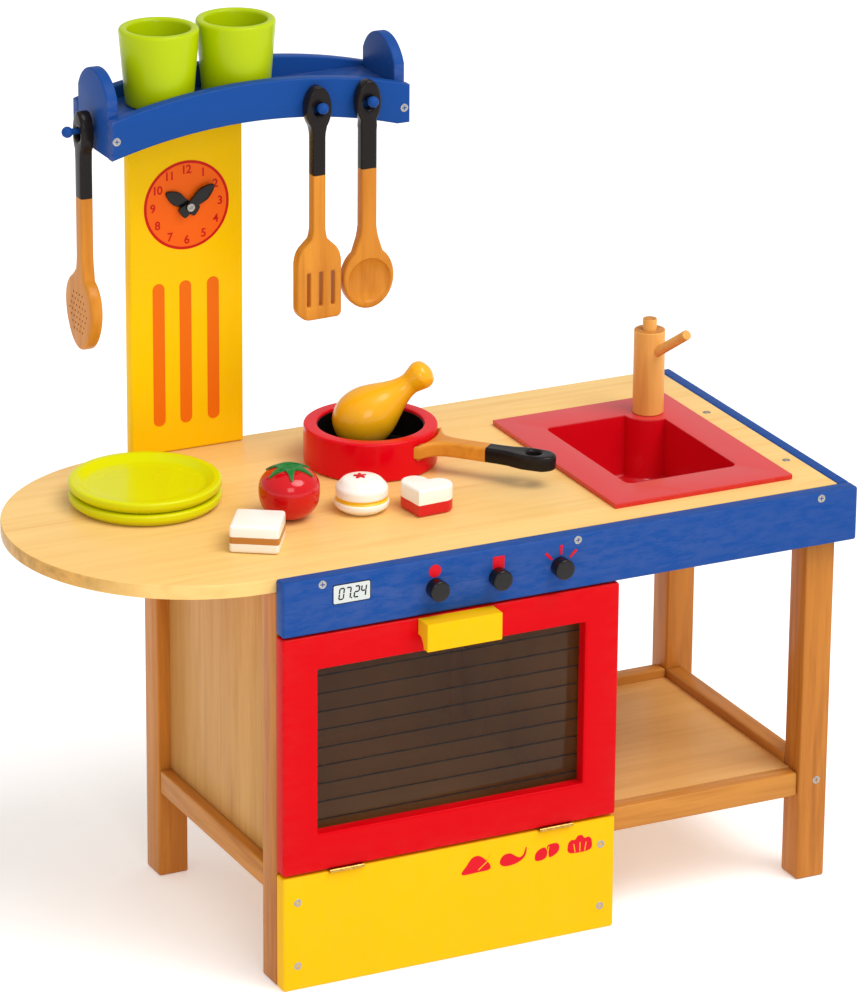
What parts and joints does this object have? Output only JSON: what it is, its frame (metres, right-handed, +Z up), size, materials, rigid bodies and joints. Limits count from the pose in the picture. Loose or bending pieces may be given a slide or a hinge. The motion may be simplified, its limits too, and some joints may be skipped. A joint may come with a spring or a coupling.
{
  "type": "toy kitchen",
  "caption": "Wooden play kitchen with an oven with a drop-down door, an open shelf, a sink with a swivelling tap, a clock board and a top shelf with hanging utensils, dishes and play food.",
  "frame": {"origin": "on the floor, under the middle of the whole kitchen's outline", "axes": "+Z up, -Y out of the oven door towards the child, +X towards the sink end"},
  "size_m": [0.844, 0.427, 0.9093],
  "materials": {
    "beech": "clear satin lacquer on beech-faced board",
    "rubberwood": "clear satin lacquer on solid wood",
    "blue_paint": "satin enamel paint",
    "red_paint": "satin enamel paint",
    "yellow_paint": "satin enamel paint",
    "black_paint": "gloss enamel paint",
    "green_paint": "gloss enamel paint",
    "oiled_wood": "oiled beech",
    "red_plastic": "gloss, with a satin rim",
    "smoked_acrylic": "clear brown, gloss",
    "brass": "satin",
    "steel": "bright",
    "cream_paint": "satin enamel paint",
    "tomato_red": "gloss enamel paint",
    "golden_paint": "gloss enamel paint"
  },
  "bodies": {
    "cabinet": {"worktop": "beech", "bottom_board": "beech", "oven_left_panel": "beech", "oven_right_panel": "beech", "oven_back_panel": "beech", "front_left_leg": "rubberwood", "front_middle_leg": "rubberwood", "front_right_leg": "rubberwood", "back_left_leg": "rubberwood", "back_middle_leg": "rubberwood", "back_right_leg": "rubberwood", "left_rail": "rubberwood", "shelf_front_rail": "rubberwood", "shelf_back_rail": "rubberwood", "shelf_side_rail": "rubberwood", "rear_apron": "rubberwood", "front_fascia": "blue_paint", "worktop_side_rail": "blue_paint", "shelf_front_arch": "blue_paint", "shelf_back_arch": "blue_paint", "shelf_floor": "blue_paint", "shelf_left_end": "blue_paint", "shelf_right_end": "blue_paint", "turner_peg": "blue_paint", "spoon_peg": "blue_paint", "skimmer_peg": "blue_paint", "clock_board": "yellow_paint", "plinth": "yellow_paint", "tap_axle": "oiled_wood", "sink": "red_plastic", "left_hinge_leaf_fixed": "brass", "right_hinge_leaf_fixed": "brass", "clock_screw": "steel"},
    "door": {"door_frame": "red_paint", "door_window": "smoked_acrylic", "door_handle": "yellow_paint", "left_hinge_leaf_door": "brass", "right_hinge_leaf_door": "brass"},
    "left_knob_body": {"left_knob": "black_paint"},
    "middle_knob_body": {"middle_knob": "black_paint"},
    "right_knob_body": {"right_knob": "black_paint"},
    "hour_hand_body": {"hour_hand": "black_paint"},
    "minute_hand_body": {"minute_hand": "black_paint"},
    "tap": {"tap_column": "oiled_wood", "tap_spout": "oiled_wood"},
    "turner_body": {"turner": "oiled_wood"},
    "spoon_body": {"spoon": "oiled_wood"},
    "skimmer_body": {"skimmer": "oiled_wood"},
    "left_cup_body": {"left_cup": "green_paint"},
    "right_cup_body": {"right_cup": "green_paint"},
    "lower_plate_body": {"lower_plate": "green_paint"},
    "upper_plate_body": {"upper_plate": "green_paint"},
    "pan_body": {"pan": "red_paint", "pan_handle": "oiled_wood"},
    "drumstick_body": {"drumstick": "golden_paint"},
    "tomato_body": {"tomato": "tomato_red"},
    "square_cake_body": {"square_cake": "cream_paint"},
    "round_cake_body": {"round_cake": "cream_paint"},
    "heart_cake_body": {"heart_cake": "cream_paint"}
  },
  "joints": [
    {"name": "door_hinge", "type": "hinge", "parent": "cabinet", "child": "door", "pos_m": [-0.03925, -0.1937, 0.1249], "axis": [1, 0, 0], "range_deg": [0, 110]},
    {"name": "left_knob_turn", "type": "hinge", "parent": "cabinet", "child": "left_knob_body", "pos_m": [-0.0605, -0.1915, 0.4095], "axis": [0, 1, 0], "continuous": true},
    {"name": "middle_knob_turn", "type": "hinge", "parent": "cabinet", "child": "middle_knob_body", "pos_m": [0.009, -0.1915, 0.4095], "axis": [0, 1, 0], "continuous": true},
    {"name": "right_knob_turn", "type": "hinge", "parent": "cabinet", "child": "right_knob_body", "pos_m": [0.0785, -0.1915, 0.4095], "axis": [0, 1, 0], "continuous": true},
    {"name": "hour_hand_turn", "type": "hinge", "parent": "cabinet", "child": "hour_hand_body", "pos_m": [-0.15275, 0.1995, 0.7055], "axis": [0, 1, 0], "continuous": true},
    {"name": "minute_hand_turn", "type": "hinge", "parent": "cabinet", "child": "minute_hand_body", "pos_m": [-0.15275, 0.1995, 0.7055], "axis": [0, 1, 0], "continuous": true},
    {"name": "tap_swivel", "type": "hinge", "parent": "cabinet", "child": "tap", "pos_m": [0.327, 0.0865, 0.4458], "axis": [0, 0, 1], "continuous": true},
    {"name": "turner_swing", "type": "hinge", "parent": "cabinet", "child": "turner_body", "pos_m": [-0.0515, 0.1115, 0.8255], "axis": [0, 1, 0], "range_deg": [0, 60]},
    {"name": "spoon_swing", "type": "hinge", "parent": "cabinet", "child": "spoon_body", "pos_m": [0.0045, 0.1115, 0.8255], "axis": [0, 1, 0], "range_deg": [-60, 0]},
    {"name": "skimmer_swing", "type": "hinge", "parent": "cabinet", "child": "skimmer_body", "pos_m": [-0.272, 0.1625, 0.812], "axis": [1, 0, 0], "range_deg": [-60, 60]},
    {"name": "left_cup_lift", "type": "slide", "parent": "cabinet", "child": "left_cup_body", "axis": [0, 0, 1], "range_m": [0, 0.1]},
    {"name": "right_cup_lift", "type": "slide", "parent": "cabinet", "child": "right_cup_body", "axis": [0, 0, 1], "range_m": [0, 0.1]},
    {"name": "lower_plate_lift", "type": "slide", "parent": "cabinet", "child": "lower_plate_body", "axis": [0, 0, 1], "range_m": [0, 0.05]},
    {"name": "upper_plate_lift", "type": "slide", "parent": "lower_plate_body", "child": "upper_plate_body", "axis": [0, 0, 1], "range_m": [0, 0.05]},
    {"name": "pan_lift", "type": "slide", "parent": "cabinet", "child": "pan_body", "axis": [0, 0, 1], "range_m": [0, 0.04]},
    {"name": "drumstick_lift", "type": "slide", "parent": "pan_body", "child": "drumstick_body", "axis": [0, 0, 1], "range_m": [0, 0.035]},
    {"name": "tomato_lift", "type": "slide", "parent": "cabinet", "child": "tomato_body", "axis": [0, 0, 1], "range_m": [0, 0.08]},
    {"name": "square_cake_lift", "type": "slide", "parent": "cabinet", "child": "square_cake_body", "axis": [0, 0, 1], "range_m": [0, 0.08]},
    {"name": "round_cake_lift", "type": "slide", "parent": "cabinet", "child": "round_cake_body", "axis": [0, 0, 1], "range_m": [0, 0.08]},
    {"name": "heart_cake_lift", "type": "slide", "parent": "cabinet", "child": "heart_cake_body", "axis": [0, 0, 1], "range_m": [0, 0.08]}
  ]
}
